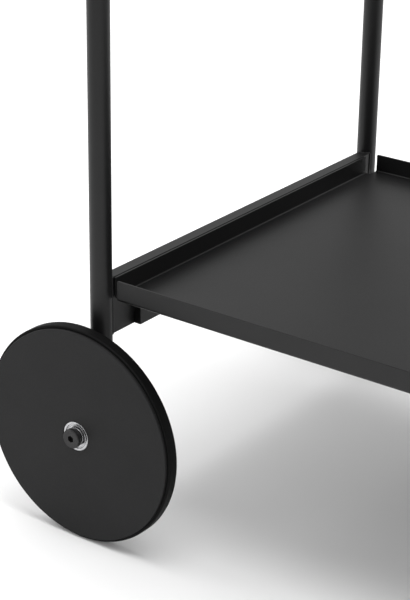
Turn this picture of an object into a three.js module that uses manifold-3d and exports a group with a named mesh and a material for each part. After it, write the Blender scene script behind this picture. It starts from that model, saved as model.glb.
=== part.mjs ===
// Bar cart on wheels: two sheet-metal trays between two tube end frames. The left end rolls on two
// large disc wheels, each on a ball bearing and a shoulder bolt, and the right end stands on feet.
// Millimetres, +X along the cart towards the standing end, +Y to the rear, +Z up. The origin is the
// middle of the cart's box, on the floor.
import * as THREE from "three";
import { mergeVertices } from "three/addons/utils/BufferGeometryUtils.js";
import Module from "manifold-3d";

const wasm = await Module();
wasm.setup();

// Driving dimensions: the whole cart
const LEG_SPACING_X = 640;
const LEG_SPACING_Y = 443;
const CART_HEIGHT = 800;
const RAIL_TOPS = { lower: 248, upper: 700 };
const GAP = 0.3; // between pieces that touch

// Driving dimensions: tube end frames
const TUBE_RADIUS = 10;
const TUBE_WALL = 1.5;
const TUBE_SIDES = 16;
const LEG_TOP = 735; // where the straight leg meets the bent hoop
const HOOP_BEND = 45; // centre-line radius
const HOOP_BEND_STEPS = 4;
const LEG_END_BELOW_AXLE = 22;
const PLUG_FLANGE = 2;
const PLUG_LENGTH = 10;

// Driving dimensions: side rails, measured from the leg's axis towards the middle of the cart
const RAIL_OUTER = -4;
const RAIL_INNER = 8;
const RAIL_HEIGHT = 55;
const RAIL_WALL = 2;

// Driving dimensions: trays
const SHEET = 2;
const BEND_INNER = 1.5;
const BEND_STEPS = 4;
const LIP_HEIGHT = 18; // above the tray's floor
const LIP_BELOW_RAIL = 0.5; // the lips end just under the rail's top
const LIP_INSET_Y = 2.4; // front lip's outer face, behind the leg's axis
const NOTCH_X = 16; // corner notches, from the legs' axes
const NOTCH_Y = { front: 8, rear: 16.5 };

// Driving dimensions: the bars that carry a tray, and their screws
const BEARER_WIDTH = 7;
const BEARER_END = 37; // from the leg's axis
const LUG_LENGTH = 24;
const LUG_WIDTH = 20;
const LUG_THICKNESS = 3;
const LUG_FROM_MIDDLE = 130;
const NUT_RADIUS = 5;
const NUT_HEIGHT = 4;
const SCREW_RADIUS = 2.2;
const SCREW_HEAD_RADIUS = 4.6;
const SCREW_HEAD_HEIGHT = 2.6;
const SCREW_HEAD_TAPER = 1;
const SCREW_SIDES = 12;
const SCREW_SOCKET = { radius: 1.7, depth: 1.4 };

// Driving dimensions: wheels. "Out" is measured from the leg's axis along the axle.
const WHEEL_RADIUS = 105;
const WHEEL_SIDES = 48;
const WHEEL_OUT = { tyreBack: 24.6, discBack: 28, tyreFront: 35.5, face: 38 };
const DISC_RADIUS = 102;
const DISC_CHAMFER = 0.6;
const RIM_GROOVE = { radius: 97, from: 30, to: 34 };
const TYRE_SHOULDER = 1;
const BEARING = { outer: 14, raceOuter: 11.8, pitch: 10, raceInner: 8.2, bore: 6.15, width: 8 };
const BALL_RADIUS = 2.2;
const BALL_COUNT = 7;
const BALL_GRID = [8, 4];
const CAGE_SIDES = 14;
const GROOVE_SHARES = [-1, -0.4, 0.4, 1]; // points across a ball groove, as shares of its half angle
const SHIELD = { thickness: 0.4, inset: 1 };
const BORE_LEDGE = 0.7; // how far the disc stands in behind the outer ring
const BEARING_SIDES = 16;
const SHOULDER_RADIUS = 5.9;
const THREAD_RADIUS = 4.9;
const SPACER_RADIUS = 9;
const BUSH = { radius: 7, bore: 5.2, from: -9.5, to: 12 };
const BOLT_TIP_IN_BUSH = 2;
const BOLT_HEAD = { neckRadius: 8, neck: 2.6, capRadius: 9.2, height: 7, socket: 3.4, depth: 4 };

// Driving dimensions: feet of the standing end, whose spigots are pressed into plugs in the legs
const FOOT_RADIUS = 13;
const FOOT_HEIGHT = 9;
const FOOT_CHAMFER = 1;
const FOOT_SIDES = 24;
const SPIGOT_RADIUS = 3.9;
const SPIGOT_LENGTH = 26;
const INSERT_LENGTH = 22;

// Places that follow
const OVERALL_LENGTH = WHEEL_RADIUS + LEG_SPACING_X + FOOT_RADIUS;
const LEFT_X = WHEEL_RADIUS - OVERALL_LENGTH / 2;
const RIGHT_X = LEFT_X + LEG_SPACING_X;
const HALF_Y = LEG_SPACING_Y / 2;
const AXLE_Z = WHEEL_RADIUS;
const ROLLING_LEG_BOTTOM = AXLE_Z - LEG_END_BELOW_AXLE;
const STANDING_LEG_BOTTOM = FOOT_HEIGHT + PLUG_FLANGE + 2 * GAP;
const TRAY_BELOW_RAIL_TOP = LIP_BELOW_RAIL + LIP_HEIGHT;
const BEARER_FACE = RAIL_INNER + GAP + BEARER_WIDTH; // from the leg's axis
const LUG_TOP = -SHEET - NUT_HEIGHT - GAP; // from the tray's floor
const HOOP_Z = CART_HEIGHT - TUBE_RADIUS;
const TUBE_BORE = TUBE_RADIUS - TUBE_WALL;
const WHEEL_FLAT = WHEEL_RADIUS / Math.cos(Math.PI / WHEEL_SIDES); // flats, not corners, meet the floor
const ENDS = { left: { x: LEFT_X, turn: 0 }, right: { x: RIGHT_X, turn: Math.PI } };
const SIDES = { front: -1, rear: 1 };

// Finishes
const FINISH = {
  powderCoat: { color: 0x1b1b1c, roughness: 0.55, metalness: 0.1 },
  disc: { color: 0x2a2a2b, roughness: 0.6, metalness: 0.05 },
  rubber: { color: 0x0d0d0e, roughness: 0.85, metalness: 0 },
  steel: { color: 0xc9cacc, roughness: 0.25, metalness: 1 },
  blackSteel: { color: 0x161617, roughness: 0.4, metalness: 0.8 },
  plastic: { color: 0x111112, roughness: 0.6, metalness: 0 },
};

const cart = new THREE.Group();

// ---- Solids ----

// A closed three.js geometry as a solid that can be joined and cut.
function solid(geometry) {
  const bare = geometry.index ? geometry.toNonIndexed() : geometry.clone();
  bare.deleteAttribute("normal");
  bare.deleteAttribute("uv");
  const merged = mergeVertices(bare, 1e-4);
  const vertProperties = merged.attributes.position.array;
  const triVerts = new Uint32Array(merged.index.array);
  return new wasm.Manifold(new wasm.Mesh({ numProp: 3, vertProperties, triVerts }));
}

// A solid as a three.js geometry.
function geometryOf(made) {
  const mesh = made.getMesh();
  const geometry = new THREE.BufferGeometry();
  geometry.setAttribute("position", new THREE.BufferAttribute(mesh.vertProperties, 3));
  geometry.setIndex(new THREE.BufferAttribute(mesh.triVerts, 1));
  geometry.computeVertexNormals();
  return geometry;
}

// A turned shape about the Y axis from [radius, y] points, which close on themselves or on the axis.
// With flatDown set, a flat and not a corner of the polygon faces down.
function turned(profile, sides, flatDown = false) {
  const area = profile.reduce((sum, [r, y], i) => {
    const [nextR, nextY] = profile[(i + 1) % profile.length];
    return sum + (r * nextY - nextR * y);
  }, 0);
  const closed = [...profile, profile[0]].map(([r, y]) => new THREE.Vector2(r, y));
  if (area < 0) closed.reverse();
  return new THREE.LatheGeometry(closed, sides, flatDown ? Math.PI / sides : 0);
}

// A ring or sleeve about the Y axis.
function ring(inner, outer, from, to, sides) {
  return turned([[inner, from], [outer, from], [outer, to], [inner, to]], sides);
}

// A solid rod about the Y axis.
function rod(radius, from, to, sides) {
  const length = to - from;
  return new THREE.CylinderGeometry(radius, radius, length, sides).translate(0, (from + to) / 2, 0);
}

// A block between two opposite corners.
function block([x0, y0, z0], [x1, y1, z1]) {
  const box = new THREE.BoxGeometry(Math.abs(x1 - x0), Math.abs(y1 - y0), Math.abs(z1 - z0));
  return box.translate((x0 + x1) / 2, (y0 + y1) / 2, (z0 + z1) / 2);
}

// A shape drawn in X and Z, extruded along Y over the length given, centred on Y = 0.
function extrudeAlongY(shape, length) {
  const options = { depth: length, bevelEnabled: false, curveSegments: BEND_STEPS / 2 };
  const bar = new THREE.ExtrudeGeometry(shape, options);
  return bar.rotateX(Math.PI / 2).translate(0, length / 2, 0);
}

// Stands a shape made about the Y axis upright, so that its Y becomes Z.
function upright(geometry) {
  return geometry.rotateX(Math.PI / 2);
}

// Adds one named piece to a group.
function add(group, name, geometry, finish) {
  const mesh = new THREE.Mesh(geometry, new THREE.MeshStandardMaterial(FINISH[finish]));
  mesh.name = name;
  group.add(mesh);
  return mesh;
}

// ---- End frames ----

// A straight vertical leg. A round hole crosses it along Y at the axle where a radius is given.
function leg(bottom, crossHole) {
  const tube = upright(ring(TUBE_BORE, TUBE_RADIUS, bottom, LEG_TOP, TUBE_SIDES));
  if (!crossHole) return tube;
  const hole = rod(crossHole, -2 * TUBE_RADIUS, 2 * TUBE_RADIUS, BEARING_SIDES);
  return geometryOf(solid(tube).subtract(solid(hole.translate(0, 0, AXLE_Z))));
}

// Centre line of the hoop over two legs, with stations at the ends of its straights and evenly
// round its bends.
class HoopPath extends THREE.Curve {
  static steps = 3 + 2 * HOOP_BEND_STEPS;

  // The half on the +Y side, from the top's middle down to the leg.
  half(station) {
    const corner = HALF_Y - HOOP_BEND;
    if (station <= 0.5) return [corner * (station / 0.5), HOOP_Z];
    if (station <= 0.5 + HOOP_BEND_STEPS) {
      const angle = ((station - 0.5) / HOOP_BEND_STEPS) * (Math.PI / 2);
      const y = corner + HOOP_BEND * Math.sin(angle);
      return [y, HOOP_Z - HOOP_BEND * (1 - Math.cos(angle))];
    }
    const down = station - 0.5 - HOOP_BEND_STEPS;
    const bendEnd = HOOP_Z - HOOP_BEND;
    return [HALF_Y, bendEnd - down * (bendEnd - LEG_TOP - GAP)];
  }

  getPoint(t) {
    const station = (t - 0.5) * HoopPath.steps;
    const [y, z] = this.half(Math.abs(station));
    return new THREE.Vector3(0, Math.sign(station) * y, z);
  }

  getPointAt(t) {
    return this.getPoint(t);
  }

  getTangentAt(t) {
    return this.getTangent(t);
  }
}

function hoop() {
  const section = new THREE.Shape().absarc(0, 0, TUBE_RADIUS, 0, 2 * Math.PI);
  section.holes.push(new THREE.Path().absarc(0, 0, TUBE_BORE, 0, 2 * Math.PI, true));
  const options = { extrudePath: new HoopPath(), steps: HoopPath.steps, curveSegments: TUBE_SIDES / 2 };
  return new THREE.ExtrudeGeometry(section, options);
}

// The left end's side rail: a flat rectangular tube whose ends are cut to fit round the legs.
function rail() {
  const outline = (inset) => {
    const low = RAIL_OUTER + inset;
    const high = RAIL_INNER - inset;
    const bottom = -RAIL_HEIGHT + inset;
    const corners = [[low, bottom], [high, bottom], [high, -inset], [low, -inset]];
    return corners.map(([x, z]) => new THREE.Vector2(x, z));
  };
  const section = new THREE.Shape(outline(0));
  section.holes.push(new THREE.Path(outline(RAIL_WALL)));
  let made = solid(extrudeAlongY(section, LEG_SPACING_Y));
  for (const side of Object.values(SIDES)) {
    const round = upright(rod(TUBE_RADIUS + GAP, -2 * RAIL_HEIGHT, RAIL_HEIGHT, TUBE_SIDES));
    made = made.subtract(solid(round.translate(0, side * HALF_Y, 0)));
  }
  return geometryOf(made);
}

function addEndFrames() {
  for (const [end, { x, turn }] of Object.entries(ENDS)) {
    const frame = new THREE.Group();
    frame.position.x = x;
    cart.add(frame);
    add(frame, `${end}_hoop`, hoop(), "powderCoat");
    const rolls = end === "left";
    const bottom = rolls ? ROLLING_LEG_BOTTOM : STANDING_LEG_BOTTOM;
    for (const [place, side] of Object.entries(SIDES)) {
      const tube = leg(bottom, rolls ? BUSH.radius + GAP : 0);
      add(frame, `${end}_leg_${place}`, tube, "powderCoat").position.y = side * HALF_Y;
    }
    for (const [level, top] of Object.entries(RAIL_TOPS)) {
      const made = add(frame, `${end}_rail_${level}`, rail(), "powderCoat");
      made.position.z = top;
      made.rotation.z = turn;
    }
  }
}

// ---- Trays ----

// The section of one folded edge, standing at X = 0 with its floor towards +X and its bend between.
function lipSection(floorWidth) {
  const outerBend = BEND_INNER + SHEET;
  const profile = new THREE.Shape();
  profile.moveTo(0, LIP_HEIGHT);
  profile.lineTo(0, BEND_INNER);
  profile.absarc(outerBend, BEND_INNER, outerBend, Math.PI, 1.5 * Math.PI);
  profile.lineTo(floorWidth, -SHEET);
  profile.lineTo(floorWidth, 0);
  profile.lineTo(outerBend, 0);
  profile.absarc(outerBend, BEND_INNER, BEND_INNER, 1.5 * Math.PI, Math.PI, true);
  profile.lineTo(SHEET, LIP_HEIGHT);
  return profile;
}

// A tray with four folded lips, open notched corners, and weld nuts under its floor for the screws.
// Its floor's upper face is at Z = 0.
function tray() {
  const halfX = LEG_SPACING_X / 2 - RAIL_INNER - GAP;
  const halfY = HALF_Y - LIP_INSET_Y;
  const fold = BEND_INNER + SHEET;
  let made = solid(block([fold - halfX, fold - halfY, -SHEET], [halfX - fold, halfY - fold, 0]));
  for (const turn of [0, 1, 2, 3]) {
    const [reach, length] = turn % 2 ? [halfY, 2 * halfX] : [halfX, 2 * halfY];
    const strip = extrudeAlongY(lipSection(2 * fold), length).translate(-reach, 0, 0);
    made = made.add(solid(strip.rotateZ((turn * Math.PI) / 2)));
  }
  const notchX = LEG_SPACING_X / 2 - NOTCH_X;
  for (const x of [-1, 1]) {
    for (const [place, y] of Object.entries(SIDES)) {
      const inner = [x * notchX, y * (HALF_Y - NOTCH_Y[place]), -2 * LIP_HEIGHT];
      const outer = [x * LEG_SPACING_X, y * LEG_SPACING_Y, 2 * LIP_HEIGHT];
      made = made.subtract(solid(block(inner, outer)));
    }
  }
  for (const [x, y] of screwPlaces()) {
    const nut = upright(rod(NUT_RADIUS, -SHEET - NUT_HEIGHT, -SHEET / 2, SCREW_SIDES));
    const thread = upright(rod(SCREW_RADIUS + GAP, -2 * LIP_HEIGHT, -SHEET - GAP, SCREW_SIDES));
    made = made.add(solid(nut.translate(x, y, 0))).subtract(solid(thread.translate(x, y, 0)));
  }
  return geometryOf(made);
}

// The four screws under a tray.
function screwPlaces() {
  const x = LEG_SPACING_X / 2 - BEARER_FACE - LUG_WIDTH / 2;
  return [-x, x].flatMap((place) => [-LUG_FROM_MIDDLE, LUG_FROM_MIDDLE].map((y) => [place, y]));
}

// A flat bar welded inside a side rail, which carries one edge of a tray, with two drilled lugs.
// It is drawn for the left end, from the leg's axis, with the tray's floor at Z = 0.
function bearer() {
  const halfLength = HALF_Y - BEARER_END;
  const bottom = TRAY_BELOW_RAIL_TOP - RAIL_HEIGHT;
  const outerFace = RAIL_INNER + GAP;
  const root = BEARER_FACE - BEARER_WIDTH / 2;
  const tip = BEARER_FACE + LUG_WIDTH;
  let made = solid(block([outerFace, -halfLength, bottom], [BEARER_FACE, halfLength, -SHEET - GAP]));
  for (const y of [-LUG_FROM_MIDDLE, LUG_FROM_MIDDLE]) {
    const low = LUG_TOP - LUG_THICKNESS;
    const lug = block([root, y - LUG_LENGTH / 2, low], [tip, y + LUG_LENGTH / 2, LUG_TOP]);
    const hole = rod(SCREW_RADIUS + GAP, -2 * LIP_HEIGHT, 0, SCREW_SIDES);
    upright(hole).translate(BEARER_FACE + LUG_WIDTH / 2, y, 0);
    made = made.add(solid(lug)).subtract(solid(hole));
  }
  return geometryOf(made);
}

// A button-head screw from below, with a hexagon socket, drawn with the tray's floor at Z = 0.
function trayScrew() {
  const seat = LUG_TOP - LUG_THICKNESS - GAP;
  const head = seat - SCREW_HEAD_HEIGHT;
  const tip = -SHEET - 2 * GAP;
  const profile = [
    [0, tip],
    [SCREW_RADIUS, tip],
    [SCREW_RADIUS, seat],
    [SCREW_HEAD_RADIUS, seat],
    [SCREW_HEAD_RADIUS - SCREW_HEAD_TAPER, head],
    [0, head],
  ];
  const socket = rod(SCREW_SOCKET.radius, head - GAP, head + SCREW_SOCKET.depth, 6);
  return geometryOf(solid(upright(turned(profile, SCREW_SIDES))).subtract(solid(upright(socket))));
}

function addTrays() {
  for (const [level, railTop] of Object.entries(RAIL_TOPS)) {
    const shelf = new THREE.Group();
    shelf.position.set((LEFT_X + RIGHT_X) / 2, 0, railTop - TRAY_BELOW_RAIL_TOP);
    cart.add(shelf);
    add(shelf, `${level}_tray`, tray(), "powderCoat");
    for (const [end, { x, turn }] of Object.entries(ENDS)) {
      const made = add(shelf, `${end}_bearer_${level}`, bearer(), "powderCoat");
      made.position.x = x - shelf.position.x;
      made.rotation.z = turn;
    }
    screwPlaces().forEach(([x, y], i) => {
      add(shelf, `${level}_tray_screw_${i + 1}`, trayScrew(), "steel").position.set(x, y, 0);
    });
  }
}

// ---- Wheels: everything is turned about the axle, with Y as the distance out from the leg ----

// A ball groove as [radius, out] points: side is 1 in the outer ring, -1 in the inner.
function grooveArc(side, edge) {
  const grooveRadius = BALL_RADIUS + GAP;
  const middle = WHEEL_OUT.face - BEARING.width / 2;
  const half = Math.acos((side * (edge - BEARING.pitch)) / grooveRadius);
  return GROOVE_SHARES.map((share) => [
    BEARING.pitch + side * grooveRadius * Math.cos(share * half),
    middle + grooveRadius * Math.sin(share * half),
  ]);
}

function bearingRing(side) {
  const back = WHEEL_OUT.face - BEARING.width;
  const front = WHEEL_OUT.face;
  const edge = side > 0 ? BEARING.raceOuter : BEARING.raceInner;
  const wall = side > 0 ? BEARING.outer : BEARING.bore;
  const groove = grooveArc(side, edge);
  return turned([[wall, back], [edge, back], ...groove, [edge, front], [wall, front]], BEARING_SIDES);
}

// The balls in their cage, as one piece.
function ballCage() {
  const middle = WHEEL_OUT.face - BEARING.width / 2;
  const half = BALL_RADIUS / 4;
  const web = ring(BEARING.pitch - half, BEARING.pitch + half, middle - half, middle + half, CAGE_SIDES);
  let made = solid(web);
  for (let i = 0; i < BALL_COUNT; i++) {
    const ball = new THREE.SphereGeometry(BALL_RADIUS, ...BALL_GRID).translate(BEARING.pitch, middle, 0);
    made = made.add(solid(ball.rotateY((i * 2 * Math.PI) / BALL_COUNT)));
  }
  return geometryOf(made);
}

function shield(out) {
  const half = SHIELD.thickness / 2;
  return ring(BEARING.raceInner + GAP, BEARING.raceOuter - GAP, out - half, out + half, BEARING_SIDES);
}

// The disc: a bore for the bearing with a shoulder behind it, and a groove round its rim.
function disc() {
  const { discBack, face } = WHEEL_OUT;
  const seat = face - BEARING.width - GAP;
  const bore = BEARING.outer + GAP;
  const shoulder = BEARING.raceOuter + BORE_LEDGE;
  return turned([
    [shoulder, discBack],
    [DISC_RADIUS - DISC_CHAMFER, discBack],
    [DISC_RADIUS, discBack + DISC_CHAMFER],
    [DISC_RADIUS, RIM_GROOVE.from],
    [RIM_GROOVE.radius, RIM_GROOVE.from],
    [RIM_GROOVE.radius, RIM_GROOVE.to],
    [DISC_RADIUS, RIM_GROOVE.to],
    [DISC_RADIUS, face - DISC_CHAMFER],
    [DISC_RADIUS - DISC_CHAMFER, face],
    [bore, face],
    [bore, seat],
    [shoulder, seat],
  ], WHEEL_SIDES, true);
}

// The tyre: a flat rubber band set back from the disc's face, held by a rib in the disc's groove.
function tyre() {
  const { tyreBack, tyreFront } = WHEEL_OUT;
  const inner = DISC_RADIUS + GAP;
  const rib = RIM_GROOVE.radius + GAP;
  return turned([
    [inner, tyreBack],
    [WHEEL_FLAT - TYRE_SHOULDER, tyreBack],
    [WHEEL_FLAT, tyreBack + TYRE_SHOULDER],
    [WHEEL_FLAT, tyreFront - TYRE_SHOULDER],
    [WHEEL_FLAT - TYRE_SHOULDER, tyreFront],
    [inner, tyreFront],
    [inner, RIM_GROOVE.to - GAP],
    [rib, RIM_GROOVE.to - GAP],
    [rib, RIM_GROOVE.from + GAP],
    [inner, RIM_GROOVE.from + GAP],
  ], WHEEL_SIDES, true);
}

// The shoulder bolt that is the axle: thread, shoulder, and a stepped head with a hexagon socket.
function axleBolt() {
  const seat = WHEEL_OUT.face + GAP;
  const top = seat + BOLT_HEAD.height;
  const step = seat + BOLT_HEAD.neck;
  const shoulderStart = BUSH.to + GAP;
  const tip = BUSH.from + BOLT_TIP_IN_BUSH;
  const profile = [
    [0, tip],
    [THREAD_RADIUS, tip],
    [THREAD_RADIUS, shoulderStart],
    [SHOULDER_RADIUS, shoulderStart],
    [SHOULDER_RADIUS, seat],
    [BOLT_HEAD.neckRadius, seat],
    [BOLT_HEAD.neckRadius, step],
    [BOLT_HEAD.capRadius, step],
    [BOLT_HEAD.capRadius, top],
    [0, top],
  ];
  const socket = rod(BOLT_HEAD.socket, top - BOLT_HEAD.depth, top + GAP, 6);
  return geometryOf(solid(turned(profile, 2 * BEARING_SIDES)).subtract(solid(socket)));
}

function addWheels() {
  const back = WHEEL_OUT.face - BEARING.width;
  for (const [place, side] of Object.entries(SIDES)) {
    const wheel = new THREE.Group();
    wheel.position.set(LEFT_X, side * HALF_Y, AXLE_Z);
    wheel.rotation.z = side > 0 ? 0 : Math.PI;
    cart.add(wheel);
    add(wheel, `wheel_disc_${place}`, disc(), "disc");
    add(wheel, `tyre_${place}`, tyre(), "rubber");
    add(wheel, `bearing_outer_ring_${place}`, bearingRing(1), "steel");
    add(wheel, `bearing_inner_ring_${place}`, bearingRing(-1), "steel");
    add(wheel, `bearing_balls_${place}`, ballCage(), "steel");
    add(wheel, `bearing_shield_out_${place}`, shield(WHEEL_OUT.face - SHIELD.inset), "steel");
    add(wheel, `bearing_shield_in_${place}`, shield(back + SHIELD.inset), "steel");
    add(wheel, `axle_bolt_${place}`, axleBolt(), "blackSteel");
    const spacer = ring(BEARING.bore, SPACER_RADIUS, BUSH.to + GAP, back - GAP, BEARING_SIDES);
    add(wheel, `axle_spacer_${place}`, spacer, "blackSteel");
    const bush = ring(BUSH.bore, BUSH.radius, BUSH.from, BUSH.to, BEARING_SIDES);
    add(wheel, `axle_bush_${place}`, bush, "steel");
  }
}

// ---- Leg ends ----

// A plug in a leg's open end, with a flange that covers the tube. With a bore it takes a foot.
function plug(bore, length) {
  const outer = TUBE_BORE - GAP;
  const flange = TUBE_RADIUS - GAP;
  return upright(turned([
    [bore, 0],
    [flange, 0],
    [flange, PLUG_FLANGE],
    [outer, PLUG_FLANGE],
    [outer, PLUG_FLANGE + length],
    [bore, PLUG_FLANGE + length],
  ], TUBE_SIDES));
}

// A foot: a round pad with a spigot.
function foot() {
  return upright(turned([
    [0, 0],
    [FOOT_RADIUS - FOOT_CHAMFER, 0],
    [FOOT_RADIUS, FOOT_CHAMFER],
    [FOOT_RADIUS, FOOT_HEIGHT / 2],
    [2 * SPIGOT_RADIUS, FOOT_HEIGHT],
    [SPIGOT_RADIUS, FOOT_HEIGHT],
    [SPIGOT_RADIUS, FOOT_HEIGHT + SPIGOT_LENGTH],
    [0, FOOT_HEIGHT + SPIGOT_LENGTH],
  ], FOOT_SIDES));
}

function addLegEnds() {
  for (const [place, side] of Object.entries(SIDES)) {
    const y = side * HALF_Y;
    const cover = add(cart, `left_leg_plug_${place}`, plug(0, PLUG_LENGTH), "plastic");
    cover.position.set(LEFT_X, y, ROLLING_LEG_BOTTOM - PLUG_FLANGE - GAP);
    const socket = plug(SPIGOT_RADIUS + GAP, INSERT_LENGTH);
    const insert = add(cart, `right_leg_insert_${place}`, socket, "plastic");
    insert.position.set(RIGHT_X, y, FOOT_HEIGHT + GAP);
    add(cart, `right_foot_${place}`, foot(), "plastic").position.set(RIGHT_X, y, 0);
  }
}

addEndFrames();
addTrays();
addWheels();
addLegEnds();

export default cart;
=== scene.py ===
"""Bar cart: two welded tube end frames, two folded sheet trays and two disc wheels.

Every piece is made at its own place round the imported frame, in metres, +Z up, +Y to the rear.
"""

import math

import bpy  # noqa: E402
from mathutils import Matrix, Vector  # noqa: E402


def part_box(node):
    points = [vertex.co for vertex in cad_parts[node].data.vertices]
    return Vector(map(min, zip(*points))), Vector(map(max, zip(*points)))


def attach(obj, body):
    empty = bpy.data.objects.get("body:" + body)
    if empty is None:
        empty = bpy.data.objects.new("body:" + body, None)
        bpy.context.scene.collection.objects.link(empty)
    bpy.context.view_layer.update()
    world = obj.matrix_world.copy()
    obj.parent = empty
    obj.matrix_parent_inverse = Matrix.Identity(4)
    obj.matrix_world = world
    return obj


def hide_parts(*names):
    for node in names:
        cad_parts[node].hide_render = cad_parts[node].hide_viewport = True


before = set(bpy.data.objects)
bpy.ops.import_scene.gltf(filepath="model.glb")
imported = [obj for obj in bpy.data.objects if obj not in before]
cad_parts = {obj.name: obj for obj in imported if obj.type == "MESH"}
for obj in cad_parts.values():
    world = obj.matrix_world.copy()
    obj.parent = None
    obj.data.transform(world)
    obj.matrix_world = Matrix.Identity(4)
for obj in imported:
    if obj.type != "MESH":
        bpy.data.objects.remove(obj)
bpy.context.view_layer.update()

MM = 0.001
FULL_TURN = 2 * math.pi
QUARTER_TURN = math.pi / 2
X_AXIS, Y_AXIS, Z_AXIS = (1, 0, 0), (0, 1, 0), (0, 0, 1)
SAME_PLACE = 0.01 * MM  # two points closer than this are one
EDGE_ANGLE = math.radians(35)  # sharper edges are rounded and shaded sharp
ENDS = ("left", "right")
LEVELS = ("lower", "upper")
PLACES = ("front", "rear")

# ---- Places and sizes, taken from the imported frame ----


def middle(node):
    low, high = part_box(node)
    return (low + high) / 2


leg_low, leg_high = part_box("left_leg_front")
TUBE_RADIUS = (leg_high.x - leg_low.x) / 2
TUBE_WALL = 1.5 * MM
HOOP_BEND = 45 * MM  # radius of the bends, on the tube's centre line
HOOP_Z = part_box("left_hoop")[1].z - TUBE_RADIUS
LEG_X = {end: middle(f"{end}_leg_front").x for end in ENDS}
LEG_Y = {place: middle(f"left_leg_{place}").y for place in PLACES}
SHEET = 2 * MM
LIP = 18 * MM
INNER_FOLD = 1.5 * MM
NOTCH_X = 16 * MM  # corner notches, from the legs' axes
NOTCH_Y = {"front": 8 * MM, "rear": 16.5 * MM}
AXLE_Z = middle("wheel_disc_front").z
LEFT_TO_RIGHT = Matrix.Translation((LEG_X["left"] + LEG_X["right"], 0, 0)) @ Matrix.Rotation(
    math.pi, 4, "Z"
)
FRONT_TO_REAR = Matrix.Translation((2 * LEG_X["left"], 0, 0)) @ Matrix.Rotation(math.pi, 4, "Z")

# ---- Bench tools ----


def to_objects():
    if bpy.context.mode != "OBJECT":
        bpy.ops.object.mode_set(mode="OBJECT")
    bpy.ops.object.select_all(action="DESELECT")


def only(piece):
    """Makes this piece the one selected and active object."""
    to_objects()
    piece.select_set(True)
    bpy.context.view_layer.objects.active = piece


def started(name):
    """Names the primitive that was just added, with its place kept in its mesh."""
    piece = bpy.context.object
    piece.name = piece.data.name = name
    bpy.ops.object.transform_apply(location=True, rotation=True, scale=True)
    return piece


def bar_stock(name, low, high):
    """A cube primitive between two corners."""
    to_objects()
    low, high = Vector(low), Vector(high)
    bpy.ops.mesh.primitive_cube_add(size=1, location=(low + high) / 2)
    bpy.context.object.scale = high - low
    return started(name)


def round_stock(name, radius, start, end, sides):
    """A cylinder primitive from one point to another."""
    to_objects()
    start, end = Vector(start), Vector(end)
    along = end - start
    bpy.ops.mesh.primitive_cylinder_add(
        vertices=sides,
        radius=radius,
        depth=along.length,
        location=(start + end) / 2,
        rotation=along.to_track_quat("Z", "Y").to_euler(),
    )
    return started(name)


def pick(piece, kind, wanted):
    """Selects what passes the test, vertices, edges or faces, and stays in edit mode."""
    only(piece)
    bpy.ops.object.mode_set(mode="EDIT")
    bpy.ops.mesh.select_mode(type=kind)
    bpy.ops.mesh.select_all(action="DESELECT")
    bpy.ops.object.mode_set(mode="OBJECT")
    mesh = piece.data
    places = [v.co for v in mesh.vertices]
    if kind == "VERT":
        chosen = [v for v in mesh.vertices if wanted(v.co)]
    elif kind == "EDGE":
        chosen = [e for e in mesh.edges if wanted(*(places[i] for i in e.vertices))]
    else:
        chosen = [p for p in mesh.polygons if wanted(p.center, p.normal)]
    for element in chosen:
        element.select = True
    bpy.ops.object.mode_set(mode="EDIT")


def every(piece):
    """Selects all of the piece, in edit mode."""
    only(piece)
    bpy.ops.object.mode_set(mode="EDIT")
    bpy.ops.mesh.select_mode(type="VERT")
    bpy.ops.mesh.select_all(action="SELECT")


def closed_up(piece):
    """Merges what meets and turns every face outwards."""
    every(piece)
    bpy.ops.mesh.remove_doubles(threshold=SAME_PLACE)
    bpy.ops.mesh.normals_make_consistent(inside=False)
    to_objects()
    return piece


def pen(name, start):
    """One loose vertex, ready to be extruded into an outline."""
    to_objects()
    bpy.ops.mesh.primitive_plane_add(size=MM, location=start)
    piece = started(name)
    every(piece)
    bpy.ops.mesh.merge(type="CENTER")
    return piece


def turned(name, outline, centre, steps, out=(0, -1, 0)):
    """Draws an outline of (radius, out) points and spins it once round the axis through centre.
    out is the way that the axis points."""
    centre, out = Vector(centre), Vector(out)
    side = Vector(Z_AXIS) if abs(out.z) < 0.5 else Vector(X_AXIS)
    points = [centre + side * radius + out * along for radius, along in outline]
    if min(radius for radius, _ in outline) > 0:
        points.append(points[0])
    piece = pen(name, points[0])
    for here, there in zip(points, points[1:]):
        bpy.ops.mesh.extrude_vertices_move(TRANSFORM_OT_translate={"value": there - here})
    every(piece)
    bpy.ops.mesh.spin(steps=steps, angle=FULL_TURN, center=centre, axis=out)
    return closed_up(piece)


def finish_with(piece, kind, **settings):
    """Adds one modifier and applies it."""
    only(piece)
    modifier = piece.modifiers.new(kind.lower(), kind)
    for key, value in settings.items():
        setattr(modifier, key, value)
    bpy.ops.object.modifier_apply(modifier=modifier.name)
    return piece


def rounded(piece, width, segments=2, angle=EDGE_ANGLE):
    """Rounds the piece's sharp edges."""
    return finish_with(
        piece,
        "BEVEL",
        width=width,
        segments=segments,
        limit_method="ANGLE",
        angle_limit=angle,
        harden_normals=False,
    )


def cut(piece, cutter):
    """Cuts one piece with another, which is used up."""
    finish_with(piece, "BOOLEAN", object=cutter, operation="DIFFERENCE", solver="EXACT")
    bpy.data.objects.remove(cutter)
    return piece


def joined(piece, others):
    """Makes one object of several."""
    only(piece)
    for other in others:
        other.select_set(True)
    bpy.context.view_layer.objects.active = piece
    bpy.ops.object.join()
    return piece


def copied(piece, name, move):
    """A copy with its own mesh, put in place."""
    twin = piece.copy()
    twin.data = piece.data.copy()
    twin.name = twin.data.name = name
    bpy.context.scene.collection.objects.link(twin)
    twin.data.transform(move)
    return twin


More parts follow.
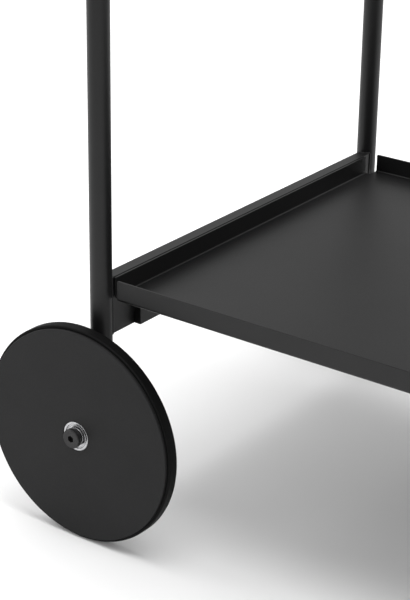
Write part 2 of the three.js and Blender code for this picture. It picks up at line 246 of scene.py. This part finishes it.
def fitted(piece, body, slot, finish, *stands_for, smooth=EDGE_ANGLE):
    """Gives a finished piece its shading, finish and body, and the CAD nodes that it stands for."""
    only(piece)
    bpy.ops.object.shade_smooth_by_angle(angle=smooth)
    finish_with(piece, "WEIGHTED_NORMAL", keep_sharp=True)
    piece.data.materials.clear()
    piece.data.materials.append(finish)
    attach(piece, body)
    if stands_for:
        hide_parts(*stands_for)
    to_objects()
    return piece


# ---- Finishes ----


class Finish:
    """A procedural material, built node by node on the piece's own object coordinates."""

    def __init__(self, name, roughness, metallic=0.0, specular=0.5, centre=(0, 0, 0)):
        self.material = bpy.data.materials.new(name)
        self.material.use_nodes = True
        self.tree = self.material.node_tree
        self.shader = self.tree.nodes["Principled BSDF"]
        self.shader.inputs["Roughness"].default_value = roughness
        self.shader.inputs["Metallic"].default_value = metallic
        self.shader.inputs["Specular IOR Level"].default_value = specular
        place = self.node("ShaderNodeTexCoord")
        centred = self.node("ShaderNodeMapping", Location=centre)
        self.link(place.outputs["Object"], centred.inputs["Vector"])
        self.place = centred.outputs["Vector"]

    def node(self, kind, **inputs):
        made = self.tree.nodes.new(kind)
        for key, value in inputs.items():
            made.inputs[key.replace("_", " ")].default_value = value
        return made

    def link(self, start, end):
        self.tree.links.new(start, end)

    def noise(self, pitch, detail=2.0, roughness=0.5, stretch=None):
        """Noise whose cells are about this size."""
        made = self.node(
            "ShaderNodeTexNoise", Scale=1 / pitch, Detail=detail, Roughness=roughness
        )
        start = self.place
        if stretch:
            mapping = self.node("ShaderNodeMapping", Scale=stretch)
            self.link(start, mapping.inputs["Vector"])
            start = mapping.outputs["Vector"]
        self.link(start, made.inputs["Vector"])
        return made.outputs["Fac"]

    def between(self, factor, low, high, start=0.3, end=0.7):
        """A number that follows a pattern between two values."""
        made = self.node("ShaderNodeMapRange")
        ends = {"From Min": start, "From Max": end, "To Min": low, "To Max": high}
        for key, value in ends.items():
            made.inputs[key].default_value = value
        self.link(factor, made.inputs["Value"])
        return made.outputs["Result"]

    def colours(self, factor, stops):
        """Colours the piece by a pattern, from (position, grey or colour) stops."""
        ramp = self.node("ShaderNodeValToRGB")
        elements = ramp.color_ramp.elements
        while len(elements) < len(stops):
            elements.new(0.5)
        for element, (position, colour) in zip(elements, stops):
            element.position = position
            element.color = (*colour, 1) if hasattr(colour, "__len__") else (colour,) * 3 + (1,)
        self.link(factor, ramp.inputs["Fac"])
        self.link(ramp.outputs["Color"], self.shader.inputs["Base Color"])

    def rough(self, socket):
        self.link(socket, self.shader.inputs["Roughness"])

    def bumps(self, *layers):
        """Adds relief from (pattern, depth) layers."""
        normal = None
        for pattern, depth in layers:
            made = self.node("ShaderNodeBump", Strength=1.0, Distance=depth)
            self.link(pattern, made.inputs["Height"])
            if normal is not None:
                self.link(normal, made.inputs["Normal"])
            normal = made.outputs["Normal"]
        self.link(normal, self.shader.inputs["Normal"])

    def rings(self, pitch, distortion=0.0):
        """Fine rings round the wheels' axis."""
        made = self.node(
            "ShaderNodeTexWave",
            Scale=1 / pitch,
            Distortion=distortion,
            Detail=2.0,
            Detail_Scale=1.5,
        )
        made.wave_type = "RINGS"
        made.rings_direction = "Y"
        self.link(self.place, made.inputs["Vector"])
        return made.outputs["Fac"]


def powder_coat():
    """Satin black powder coat: a fine orange peel, with thinner and thicker patches."""
    f = Finish("black_powder_coat", 0.5, specular=0.36)
    patches = f.noise(60 * MM, detail=3)
    grain = f.noise(0.55 * MM, detail=2)
    peel = f.noise(1.6 * MM, detail=3)
    f.colours(patches, [(0.3, (0.0034, 0.0034, 0.0036)), (0.7, (0.0052, 0.0052, 0.0054))])
    f.rough(f.between(grain, 0.40, 0.50))
    f.bumps((peel, 0.012 * MM), (grain, 0.006 * MM))
    return f.material


def disc_finish():
    """Matt dark grey sheet of the wheel discs, with a soft fine grain."""
    f = Finish("wheel_disc_grey", 0.55, specular=0.2)
    clouds = f.noise(45 * MM, detail=4, roughness=0.55)
    grain = f.noise(0.7 * MM, detail=3)
    f.colours(clouds, [(0.3, (0.0086, 0.0086, 0.0089)), (0.7, (0.0108, 0.0108, 0.0111))])
    f.rough(f.between(grain, 0.50, 0.66))
    f.bumps((grain, 0.012 * MM), (clouds, 0.02 * MM))
    return f.material


def tyre_rubber():
    """Black rubber, a little dusty, moulded with a fine matt texture."""
    f = Finish("tyre_rubber_black", 0.6, specular=0.1)
    dust = f.noise(18 * MM, detail=5, roughness=0.6)
    skin = f.noise(0.5 * MM, detail=3)
    f.colours(dust, [(0.35, (0.0010, 0.0010, 0.0011)), (0.75, (0.0022, 0.0022, 0.0021))])
    f.rough(f.between(skin, 0.5, 0.72))
    f.bumps((skin, 0.02 * MM),)
    return f.material


WHEEL_CENTRE = (-LEG_X["left"], 0, -AXLE_Z)


def bearing_steel():
    """Ground bearing steel with fine turning marks."""
    f = Finish("ground_bearing_steel", 0.2, metallic=1.0, centre=WHEEL_CENTRE)
    marks = f.rings(1.1 * MM, distortion=0.6)
    smear = f.noise(4 * MM, detail=3)
    f.colours(smear, [(0.3, (0.36, 0.36, 0.37)), (0.7, (0.48, 0.48, 0.49))])
    f.rough(f.between(smear, 0.16, 0.30))
    f.bumps((marks, 0.004 * MM),)
    return f.material


def black_oxide():
    """Black oxide on machined steel: dark, slightly brown at thin spots, with turning marks."""
    f = Finish("black_oxide_steel", 0.42, metallic=0.35, centre=WHEEL_CENTRE)
    spots = f.noise(3 * MM, detail=4)
    marks = f.rings(0.9 * MM, distortion=0.4)
    f.colours(spots, [(0.3, (0.010, 0.010, 0.011)), (0.75, (0.020, 0.019, 0.019))])
    f.rough(f.between(spots, 0.36, 0.5))
    f.bumps((marks, 0.005 * MM), (spots, 0.01 * MM))
    return f.material


def zinc_plate():
    """Bright zinc plate with a faint bluish cast."""
    f = Finish("zinc_plated_steel", 0.3, metallic=1.0)
    cast = f.noise(2.2 * MM, detail=4)
    f.colours(cast, [(0.3, (0.50, 0.53, 0.56)), (0.7, (0.68, 0.70, 0.70))])
    f.rough(f.between(cast, 0.22, 0.4))
    f.bumps((cast, 0.01 * MM),)
    return f.material


def moulded_plastic():
    """Black moulded plastic with a fine spark-eroded texture."""
    f = Finish("black_moulded_plastic", 0.5)
    spark = f.noise(0.35 * MM, detail=3)
    flow = f.noise(9 * MM, detail=2)
    f.colours(flow, [(0.3, (0.0060, 0.0060, 0.0063)), (0.7, (0.0090, 0.0090, 0.0093))])
    f.rough(f.between(spark, 0.42, 0.62))
    f.bumps((spark, 0.02 * MM),)
    return f.material


POWDER = powder_coat()
DISC_GREY = disc_finish()
RUBBER = tyre_rubber()
BEARING = bearing_steel()
BLACK_STEEL = black_oxide()
ZINC = zinc_plate()
PLASTIC = moulded_plastic()

# ---- End frames: one tube, up one leg, over the top and down the other ----

TUBE_SIDES = 64
BEND_STEPS = 24


def bent_tube(name, x, bottom):
    y_front, y_rear = LEG_Y["front"], LEG_Y["rear"]
    bend_z = HOOP_Z - HOOP_BEND
    to_objects()
    bpy.ops.mesh.primitive_circle_add(
        vertices=TUBE_SIDES, radius=TUBE_RADIUS, location=(x, y_front, bottom)
    )
    tube = started(name)
    every(tube)
    straights = (
        ((0, 0, bend_z - bottom), (x, y_front + HOOP_BEND, bend_z)),
        ((0, y_rear - y_front - 2 * HOOP_BEND, 0), (x, y_rear - HOOP_BEND, bend_z)),
    )
    for along, bend_centre in straights:
        bpy.ops.mesh.extrude_edges_move(TRANSFORM_OT_translate={"value": along})
        bpy.ops.mesh.spin(
            steps=BEND_STEPS, angle=QUARTER_TURN, center=bend_centre, axis=X_AXIS
        )
    bpy.ops.mesh.extrude_edges_move(TRANSFORM_OT_translate={"value": (0, 0, bottom - bend_z)})
    closed_up(tube)
    return finish_with(tube, "SOLIDIFY", thickness=TUBE_WALL, offset=-1, use_even_offset=True)


def make_end_frames():
    for end in ENDS:
        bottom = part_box(f"{end}_leg_front")[0].z
        tube = bent_tube(f"{end}_end_frame", LEG_X[end], bottom)
        if end == "left":
            for place in PLACES:
                low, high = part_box(f"axle_bush_{place}")
                hole = round_stock(
                    "axle_hole",
                    (high.x - low.x) / 2 + 0.2 * MM,
                    (LEG_X[end], LEG_Y[place] - 2 * TUBE_RADIUS, AXLE_Z),
                    (LEG_X[end], LEG_Y[place] + 2 * TUBE_RADIUS, AXLE_Z),
                    TUBE_SIDES,
                )
                cut(tube, hole)
        rounded(tube, 0.3 * MM, angle=math.radians(60))
        nodes = [f"{end}_hoop"] + [f"{end}_leg_{place}" for place in PLACES]
        fitted(tube, "frame", "powder_coat", POWDER, *nodes)


# ---- Side rails and their welds ----

RAIL_CORNER = 0.5 * MM
RAIL_GAP = 0.05 * MM
WELD_BEAD = 1.1 * MM
WELD_STEPS = 20
WELD_VOXEL = 0.42 * MM


def weld_beads(name, x, low, high):
    """Fillet welds round both joints of a left side rail, run together like laid metal."""
    runs = []
    for place in PLACES:
        y = LEG_Y[place]
        into = -math.copysign(1, y)  # from the leg towards the rail
        sides = {}
        for edge in (low.x, high.x):
            across = edge - x
            sides[edge] = (across, into * math.sqrt(TUBE_RADIUS**2 - across**2))
        for edge, (across, reach) in sides.items():
            runs.append(
                round_stock(
                    "weld_side",
                    WELD_BEAD,
                    (x + across, y + reach, low.z),
                    (x + across, y + reach, high.z),
                    12,
                )
            )
        start, end = (math.atan2(reach, across) for across, reach in sides.values())
        sweep = end - start
        if abs(sweep) > math.pi:
            sweep -= math.copysign(FULL_TURN, sweep)
        for level in (low.z, high.z):
            to_objects()
            bpy.ops.mesh.primitive_circle_add(
                vertices=12,
                radius=WELD_BEAD,
                fill_type="NGON",
                location=(
                    x + TUBE_RADIUS * math.cos(start),
                    y + TUBE_RADIUS * math.sin(start),
                    level,
                ),
                rotation=(QUARTER_TURN, 0, start),
            )
            run = started("weld_end")
            every(run)
            bpy.ops.mesh.spin(steps=WELD_STEPS, angle=-sweep, center=(x, y, level), axis=Z_AXIS)
            runs.append(closed_up(run))
    bead = joined(runs[0], runs[1:])
    bead.name = bead.data.name = name
    finish_with(bead, "REMESH", mode="VOXEL", voxel_size=WELD_VOXEL)
    return finish_with(bead, "SMOOTH", factor=0.5, iterations=4)


def make_rails():
    for level in LEVELS:
        node = f"left_rail_{level}"
        low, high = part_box(node)
        x = LEG_X["left"]
        rail = bar_stock(
            f"left_side_rail_{level}",
            (low.x, LEG_Y["front"], low.z),
            (high.x, LEG_Y["rear"], high.z),
        )
        pick(rail, "EDGE", lambda a, b: abs(a.y - b.y) > SHEET)
        bpy.ops.mesh.bevel(offset=RAIL_CORNER, segments=4, affect="EDGES")
        for place in PLACES:
            y = LEG_Y[place]
            below, above = (x, y, low.z - SHEET), (x, y, high.z + SHEET)
            cut(rail, round_stock("leg_cut", TUBE_RADIUS + RAIL_GAP, below, above, TUBE_SIDES))
        bead = weld_beads(f"left_rail_welds_{level}", x, low, high)
        twins = [
            copied(rail, f"right_side_rail_{level}", LEFT_TO_RIGHT),
            copied(bead, f"right_rail_welds_{level}", LEFT_TO_RIGHT),
        ]
        fitted(rail, "frame", "powder_coat", POWDER, node)
        fitted(twins[0], "frame", "powder_coat", POWDER, f"right_rail_{level}")
        for weld in (bead, twins[1]):
            fitted(weld, "frame", "powder_coat", POWDER, smooth=math.pi)


# ---- Trays, their weld nuts, screws and bars ----

FOLD_STEPS = 8
LIP_CORNER = 1.2 * MM
NUT_SEAT = 4 * MM


def folded_tray(name, low, high):
    """One sheet: a flat floor, four folded lips, and a notch at each corner."""
    floor = high.z - LIP
    inner = Vector(((high.x - low.x) / 2 - SHEET, (high.y - low.y) / 2 - SHEET))
    centre = (low + high) / 2
    starts = (LEG_X["left"] + NOTCH_X, LEG_Y["front"] + NOTCH_Y["front"])
    stops = (LEG_X["right"] - NOTCH_X, LEG_Y["rear"] - NOTCH_Y["rear"])
    to_objects()
    bpy.ops.mesh.primitive_plane_add(size=2, location=(centre.x, centre.y, floor))
    bpy.context.object.scale = (inner.x, inner.y, 1)
    tray = started(name)
    for x, y in (starts, stops):
        every(tray)
        bpy.ops.mesh.bisect(plane_co=(x, 0, floor), plane_no=X_AXIS)
        every(tray)
        bpy.ops.mesh.bisect(plane_co=(0, y, floor), plane_no=Y_AXIS)

    def beyond(point, axis):
        low_side = point[axis] < starts[axis] - SAME_PLACE
        return low_side or point[axis] > stops[axis] + SAME_PLACE

    pick(tray, "FACE", lambda place, _: beyond(place, 0) and beyond(place, 1))
    bpy.ops.mesh.delete(type="FACE")
    pick(tray, "EDGE", lambda a, b: any(beyond(a, i) and beyond(b, i) for i in (0, 1)))
    bpy.ops.mesh.extrude_edges_move(TRANSFORM_OT_translate={"value": (0, 0, LIP)})

    def on_fold(a, b):
        flat = max(abs(a.z - floor), abs(b.z - floor)) < SAME_PLACE
        return flat and any(beyond(a, i) and beyond(b, i) for i in (0, 1))

    pick(tray, "EDGE", on_fold)
    bpy.ops.mesh.bevel(offset=INNER_FOLD, segments=FOLD_STEPS, affect="EDGES")

    def lip_end(point):
        at_top = abs(point.z - high.z) < SAME_PLACE
        return at_top and any(
            abs(point[i] - limit[i]) < SAME_PLACE for i in (0, 1) for limit in (starts, stops)
        )

    pick(tray, "VERT", lip_end)
    bpy.ops.mesh.bevel(offset=LIP_CORNER, segments=5, affect="VERTICES")
    every(tray)
    bpy.ops.mesh.normals_make_consistent(inside=False)
    to_objects()
    floor_face = max(tray.data.polygons, key=lambda face: face.area)
    below = -1 if floor_face.normal.z > 0 else 1
    finish_with(tray, "SOLIDIFY", thickness=SHEET, offset=below, use_even_offset=True)
    return rounded(tray, 0.35 * MM, angle=math.radians(50))


def weld_nut(name, place, top):
    """A flanged weld nut under the tray."""
    outline = [
        (2.6 * MM, 0),
        (6.5 * MM, 0),
        (6.5 * MM, -0.9 * MM),
        (5.0 * MM, -1.1 * MM),
        (5.0 * MM, -NUT_SEAT),
        (2.6 * MM, -NUT_SEAT),
    ]
    nut = turned(name, outline, (place.x, place.y, top), 32, out=Z_AXIS)
    return rounded(nut, 0.25 * MM)


def button_screw(name, node):
    """A button-head screw with a hexagon socket, head down."""
    low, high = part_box(node)
    place = (low + high) / 2
    head = (high.x - low.x) / 2
    dome = 2.6 * MM
    outline = [(0, high.z), (2.0 * MM, high.z), (2.2 * MM, high.z - 0.5 * MM)]
    outline += [(2.2 * MM, low.z + dome), (head, low.z + dome), (head, low.z + 0.8 * dome)]
    steps = 6
    for i in range(1, steps + 1):
        angle = i / steps * QUARTER_TURN
        radius = head - (head - 2.0 * MM) * (1 - math.cos(angle))
        outline.append((radius, low.z + 0.8 * dome * (1 - math.sin(angle))))
    outline.append((0, low.z))
    screw = turned(name, outline, (place.x, place.y, 0), 48, out=Z_AXIS)
    socket = round_stock(
        "socket", 1.7 * MM, (place.x, place.y, low.z - MM), (place.x, place.y, low.z + 1.4 * MM), 6
    )
    return rounded(cut(screw, socket), 0.12 * MM)


def make_trays():
    for level in LEVELS:
        low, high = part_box(f"{level}_tray")
        tray = folded_tray(f"{level}_folded_tray", low, high)
        under = high.z - LIP - SHEET
        nuts = []
        for i in range(1, 5):
            node = f"{level}_tray_screw_{i}"
            nuts.append(weld_nut(f"{level}_weld_nut_{i}", middle(node), under))
        for nut in nuts:
            fitted(nut, "frame", "zinc_steel", ZINC)
        fitted(tray, "frame", "powder_coat", POWDER, f"{level}_tray")
    first = button_screw("lower_button_screw_1", "lower_tray_screw_1")
    for level in LEVELS:
        for i in range(1, 5):
            node = f"{level}_tray_screw_{i}"
            screw = first
            if node != "lower_tray_screw_1":
                move = Matrix.Translation(middle(node) - middle("lower_tray_screw_1"))
                screw = copied(first, f"{level}_button_screw_{i}", move)
            fitted(screw, "frame", "zinc_steel", ZINC, node)


BAR_WIDTH = 7 * MM
BAR_CORNER = 0.6 * MM
LUG_LENGTH = 20 * MM
LUG_HALF = 12 * MM  # half its width along the bar
LUG_THICKNESS = 3 * MM
LUG_CORNER = 7 * MM
LUG_HOLE = 2.6 * MM
LUG_OVER_HEAD = 2.9 * MM  # the lug's underside, above the screw head's end


def tray_bar(name, node, level):
    """The flat bar inside a side rail with two drilled, round-ended lugs."""
    low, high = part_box(node)
    rail_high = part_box(f"left_rail_{level}")[1]
    outer = rail_high.x + RAIL_GAP
    face = low.x + BAR_WIDTH
    bar = bar_stock(name, (outer, low.y, low.z), (face, high.y, high.z))
    rounded(bar, BAR_CORNER, segments=3)
    for i in (1, 2):
        screw_low, screw_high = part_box(f"{level}_tray_screw_{i}")
        screw = (screw_low + screw_high) / 2
        seat = screw_low.z + LUG_OVER_HEAD
        lug = bar_stock(
            "lug",
            (face - MM, screw.y - LUG_HALF, seat),
            (face + LUG_LENGTH, screw.y + LUG_HALF, seat + LUG_THICKNESS),
        )
        pick(lug, "EDGE", lambda a, b: abs(a.z - b.z) > MM and min(a.x, b.x) > face)
        bpy.ops.mesh.bevel(offset=LUG_CORNER, segments=10, affect="EDGES")
        hole = round_stock(
            "hole",
            LUG_HOLE,
            (screw.x, screw.y, seat - SHEET),
            (screw.x, screw.y, seat + 3 * SHEET),
            32,
        )
        rounded(cut(lug, hole), 0.3 * MM)
        finish_with(bar, "BOOLEAN", object=lug, operation="UNION", solver="EXACT")
        bpy.data.objects.remove(lug)
    return bar


def make_tray_bars():
    for level in LEVELS:
        node = f"left_bearer_{level}"
        bar = tray_bar(f"left_tray_bar_{level}", node, level)
        twin = copied(bar, f"right_tray_bar_{level}", LEFT_TO_RIGHT)
        fitted(bar, "frame", "powder_coat", POWDER, node)
        fitted(twin, "frame", "powder_coat", POWDER, f"right_bearer_{level}")


# ---- Wheels: sizes and outlines of (radius, out from the leg's axis) are in mm ----

FINE = 192  # steps round the disc and tyre
SMALL = 96  # steps round the bearing and bolt
FACE = 38  # the disc's and the bearing's outer face
DISC_BACK = 28
DISC_EDGE = 102
GROOVE = 97.2  # bottom of the rim groove that holds the tyre
TREAD = 104.95
TYRE_BACK, TYRE_FRONT = 24.6, 35.5
BEARING_BACK = 30
BEARING_EDGE = 14
RACE_OUTER, RACE_INNER = 11.8, 8.2
BALL_PITCH = 10
BALL_MIDDLE = (BEARING_BACK + FACE) / 2
BALL_COUNT = 7
BALL_RADIUS = 2.15
BORE = 6.15
BOLT_TOP = 45.3


def wheel_turned(name, outline, steps):
    """A piece of the front wheel, spun round the axle."""
    centre = (LEG_X["left"], LEG_Y["front"], AXLE_Z)
    return turned(name, [(r * MM, out * MM) for r, out in outline], centre, steps)


def wheel_disc():
    """A flat disc with a groove round its rim and a ledge behind its bearing."""
    ledge, seat = RACE_OUTER + 0.1, BEARING_EDGE + 0.1
    outline = [(ledge, DISC_BACK), (DISC_EDGE - 0.6, DISC_BACK), (DISC_EDGE, DISC_BACK + 0.6)]
    outline += [(DISC_EDGE, 30.1), (GROOVE, 30.1), (GROOVE, 33.9), (DISC_EDGE, 33.9)]
    outline += [(DISC_EDGE, FACE - 0.5), (DISC_EDGE - 0.5, FACE), (seat + 0.7, FACE)]
    outline += [(seat, FACE - 0.7), (seat, BEARING_BACK - 0.2), (ledge, BEARING_BACK - 0.2)]
    disc = wheel_turned("disc", outline, FINE)
    return rounded(disc, 0.35 * MM, segments=3, angle=math.radians(25))


def wheel_tyre():
    """A flat band with soft shoulders and a rib that sits in the rim groove."""
    inside, rib = DISC_EDGE + 0.2, GROOVE + 0.2
    outline = [(inside, TYRE_BACK), (103.9, TYRE_BACK), (104.7, 24.9), (TREAD, 25.7), (TREAD, 34.3)]
    outline += [(104.65, 35.1), (103.9, 35.45), (inside, TYRE_FRONT), (inside, 33.7)]
    outline += [(rib, 33.7), (rib, 30.3), (inside, 30.3)]
    tyre = wheel_turned("tyre", outline, FINE)
    return rounded(tyre, 0.3 * MM, segments=2, angle=math.radians(20))


def bearing_ring(name, wall, edge, groove):
    """One ring of a ball bearing, from its wall to its grooved edge."""
    outline = [(wall, BEARING_BACK), (edge, BEARING_BACK), (edge, 32.2), (groove, 33.2)]
    outline += [(groove, 34.8), (edge, 35.8), (edge, FACE), (wall, FACE)]
    return rounded(wheel_turned(name, outline, SMALL), 0.35 * MM, segments=3)


def bearing_shield(name, out):
    """A thin pressed ring between the bearing's rings, raised towards its inner edge."""
    outline = [(8.5, out - 0.2), (11.6, out - 0.2), (11.6, out + 0.05), (11.0, out + 0.05)]
    outline += [(10.6, out - 0.05), (10.3, out + 0.2), (8.7, out + 0.2), (8.5, out)]
    return rounded(wheel_turned(name, outline, SMALL), 0.06 * MM)


def bearing_balls():
    """Seven balls in a thin pressed cage."""
    near, far = BALL_PITCH - 0.4, BALL_PITCH + 0.4
    back, front = BALL_MIDDLE - 0.6, BALL_MIDDLE + 0.6
    cage = wheel_turned("cage", [(near, back), (far, back), (far, front), (near, front)], SMALL)
    centre = Vector((LEG_X["left"], LEG_Y["front"] - BALL_MIDDLE * MM, AXLE_Z))
    balls = []
    for i in range(BALL_COUNT):
        angle = FULL_TURN * i / BALL_COUNT
        to_objects()
        bpy.ops.mesh.primitive_uv_sphere_add(
            segments=24,
            ring_count=16,
            radius=BALL_RADIUS * MM,
            location=centre + Vector((math.cos(angle), 0, math.sin(angle))) * BALL_PITCH * MM,
        )
        balls.append(started("ball"))
    for ball in balls:
        finish_with(cage, "BOOLEAN", object=ball, operation="UNION", solver="EXACT")
        bpy.data.objects.remove(ball)
    return cage


def axle_bolt():
    """A shouldered bolt: thread, shank, neck and a wider cap with a hexagon socket."""
    seat, step = FACE + 0.2, FACE + 2.9
    outline = [(0, -7.5), (4.2, -7.5), (4.9, -6.6), (4.9, 12.3), (5.9, 12.7), (5.9, seat)]
    outline += [(7.6, seat), (8.0, seat + 0.4), (8.0, step), (9.0, step), (9.2, step + 0.2)]
    outline += [(9.2, BOLT_TOP - 0.7), (8.5, BOLT_TOP), (0, BOLT_TOP)]
    bolt = wheel_turned("bolt", outline, SMALL)
    x, y = LEG_X["left"], LEG_Y["front"]
    bottom = (x, y - (BOLT_TOP - 4) * MM, AXLE_Z)
    above = (x, y - (BOLT_TOP + 0.7) * MM, AXLE_Z)
    socket = round_stock("socket", 3.4 * MM, bottom, above, 6)
    return rounded(cut(bolt, socket), 0.3 * MM, segments=3)


def axle_sleeve(name, bore, radius, start, end):
    """A plain sleeve on the axle."""
    outline = [(bore, start), (radius, start), (radius, end), (bore, end)]
    return rounded(wheel_turned(name, outline, SMALL), 0.4 * MM)


def make_wheels():
    disc, tyre = ("wheel_disc", DISC_GREY), ("tyre_rubber", RUBBER)
    steel, black, zinc = (
        ("bearing_steel", BEARING),
        ("black_steel", BLACK_STEEL),
        ("zinc_steel", ZINC),
    )
    outer_ring = bearing_ring("outer", BEARING_EDGE, RACE_OUTER, RACE_OUTER + 0.45)
    inner_ring = bearing_ring("inner", BORE, RACE_INNER, RACE_INNER - 0.45)
    shield_out = bearing_shield("shield_out", FACE - 1)
    shield_in = bearing_shield("shield_in", BEARING_BACK + 1)
    spacer = axle_sleeve("spacer", BORE, 9, 12.3, BEARING_BACK - 0.3)
    bush = axle_sleeve("bush", 5.2, 7, -9.5, 12)
    wheel, fixed = "wheel_{}", "frame"
    pieces = [
        (wheel_disc(), "{}_wheel_disc", "wheel_disc_{}", wheel, disc),
        (wheel_tyre(), "{}_wheel_tyre", "tyre_{}", wheel, tyre),
        (outer_ring, "{}_outer_ring", "bearing_outer_ring_{}", wheel, steel),
        (inner_ring, "{}_inner_ring", "bearing_inner_ring_{}", fixed, steel),
        (shield_out, "{}_shield_out", "bearing_shield_out_{}", wheel, steel),
        (shield_in, "{}_shield_in", "bearing_shield_in_{}", wheel, steel),
        (bearing_balls(), "{}_ball_set", "bearing_balls_{}", wheel, steel),
        (axle_bolt(), "{}_axle_bolt", "axle_bolt_{}", fixed, black),
        (spacer, "{}_axle_spacer", "axle_spacer_{}", fixed, black),
        (bush, "{}_axle_bush", "axle_bush_{}", fixed, zinc),
    ]
    for piece, name, node, body, (slot, finish) in pieces:
        rear = copied(piece, name.format("rear"), FRONT_TO_REAR)
        piece.name = piece.data.name = name.format("front")
        for place, made in (("front", piece), ("rear", rear)):
            fitted(made, body.format(place), slot, finish, node.format(place))


# ---- Leg ends ----

SPIGOT_BORE = 4.2 * MM


def leg_plug(name, node, bore):
    """A ribbed plug pressed in a leg's open end."""
    low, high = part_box(node)
    place = (low + high) / 2
    flange_top = low.z + 2 * MM
    edge = TUBE_RADIUS - 0.3 * MM
    body = edge - TUBE_WALL
    outline = [(bore, low.z), (edge - 0.6 * MM, low.z), (edge, low.z + 0.6 * MM)]
    outline += [(edge, flange_top), (body, flange_top)]
    root = body - 0.5 * MM  # between the ribs
    ribs = 3
    pitch = (high.z - flange_top) / (ribs + 1)
    for i in range(1, ribs + 1):
        rib = flange_top + i * pitch
        outline += [(root, rib - 0.9 * MM), (body, rib), (root, rib + 0.1 * MM)]
    outline += [(body - 0.6 * MM, high.z), (bore, high.z)]
    plug = turned(name, outline, (place.x, place.y, 0), TUBE_SIDES, out=Z_AXIS)
    return rounded(plug, 0.2 * MM)


def levelling_foot(name, node):
    """A round pad with a soft edge, a ring groove in its sole and a spigot."""
    low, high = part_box(node)
    place = (low + high) / 2
    radius = (high.x - low.x) / 2
    outline = [(0, 0), (8, 0), (8.4, 0.6), (9.4, 0.6), (9.8, 0), (12, 0), (12.7, 0.3), (13, 1)]
    outline += [(13, 3.6), (12.6, 4.8), (11.2, 6.3), (8.8, 8.2), (7.8, 9), (3.9, 9), (3.9, 34)]
    outline += [(3.2, 35), (0, 35)]
    scaled = [(min(r * MM, radius), low.z + z * MM) for r, z in outline]
    foot = turned(name, scaled, (place.x, place.y, 0), SMALL, out=Z_AXIS)
    return rounded(foot, 0.2 * MM)


def make_leg_ends():
    to_rear = Matrix.Translation((0, LEG_Y["rear"] - LEG_Y["front"], 0))
    cap = leg_plug("cap", "left_leg_plug_front", 0)
    socket = leg_plug("socket", "right_leg_insert_front", SPIGOT_BORE)
    pad = levelling_foot("pad", "right_foot_front")
    for name, node, made in (
        ("left_cap_{}", "left_leg_plug_{}", cap),
        ("right_socket_{}", "right_leg_insert_{}", socket),
        ("right_pad_{}", "right_foot_{}", pad),
    ):
        rear = copied(made, name.format("rear"), to_rear)
        made.name = made.data.name = name.format("front")
        for place, piece in (("front", made), ("rear", rear)):
            fitted(piece, "frame", "black_plastic", PLASTIC, node.format(place))


# ---- Studio ----

CAMERA_PLACE = (0.69265, -1.38583, 0.88516)
CAMERA_AZIMUTH, CAMERA_PITCH, CAMERA_ROLL = -36.20, 23.53, -0.788
CAMERA_LENS = 111.02
FLOOR_HALF = 12.0
SKY = ((0.0, 0.08), (0.46, 1.0))  # the sine of the height above the horizon, and its grey
TOP_POWER = 110
LEFT_POWER = 24


def pale_floor():
    to_objects()
    bpy.ops.mesh.primitive_plane_add(size=2, location=(0, 0, 0))
    bpy.context.object.scale = (FLOOR_HALF, FLOOR_HALF, 1)
    floor = started("studio_floor")
    f = Finish("pale_floor", 0.9)
    f.colours(f.noise(0.8, detail=1), [(0.3, 0.80), (0.7, 0.81)])
    floor.data.materials.append(f.material)


def soft_box(name, place, target, size, power):
    to_objects()
    bpy.ops.object.light_add(type="AREA", location=place)
    lamp = bpy.context.object
    lamp.name = name
    lamp.data.shape = "RECTANGLE"
    lamp.data.size, lamp.data.size_y = size
    lamp.data.energy = power
    lamp.rotation_euler = (Vector(target) - Vector(place)).to_track_quat("-Z", "Y").to_euler()


def light_studio():
    world = bpy.data.worlds.new("studio")
    bpy.context.scene.world = world
    world.use_nodes = True
    nodes, links = world.node_tree.nodes, world.node_tree.links
    background = nodes["Background"]
    direction = nodes.new("ShaderNodeTexCoord")
    height = nodes.new("ShaderNodeSeparateXYZ")
    links.new(direction.outputs["Generated"], height.inputs["Vector"])
    sky = nodes.new("ShaderNodeValToRGB")
    links.new(height.outputs["Z"], sky.inputs["Fac"])
    links.new(sky.outputs["Color"], background.inputs["Color"])
    elements = sky.color_ramp.elements
    for element, (sine, grey) in zip((elements[0], elements[1]), SKY):
        element.position = sine
        element.color = (grey, grey, grey, 1)
    background.inputs["Strength"].default_value = 1.0
    soft_box("top_box", (0.45, 0.12, 3.0), (0.05, 0, 0), (2.5, 2.5), TOP_POWER)
    soft_box("left_box", (-2.6, -0.6, 1.6), (0, 0, 0.4), (1.4, 2.0), LEFT_POWER)


def set_camera():
    azimuth, pitch, roll = (
        math.radians(a) for a in (CAMERA_AZIMUTH, CAMERA_PITCH, CAMERA_ROLL)
    )
    ahead = Vector(
        (
            math.sin(azimuth) * math.cos(pitch),
            math.cos(azimuth) * math.cos(pitch),
            -math.sin(pitch),
        )
    )
    right = Vector((math.cos(azimuth), -math.sin(azimuth), 0))
    down = ahead.cross(right)
    level, lean = math.cos(roll), math.sin(roll)
    right, down = level * right + lean * down, -lean * right + level * down
    to_objects()
    bpy.ops.object.camera_add(location=CAMERA_PLACE)
    camera = bpy.context.object
    camera.name = "studio_camera"
    turn = Matrix((right, -down, -ahead)).transposed()
    camera.rotation_euler = turn.to_euler()
    camera.data.lens = CAMERA_LENS
    camera.data.sensor_width = 36
    camera.data.clip_start = 0.05
    camera.data.clip_end = 60
    bpy.context.scene.camera = camera
    bpy.context.scene.view_settings.view_transform = "Standard"


make_end_frames()
make_rails()
make_trays()
make_tray_bars()
make_wheels()
make_leg_ends()
pale_floor()
light_studio()
set_camera()
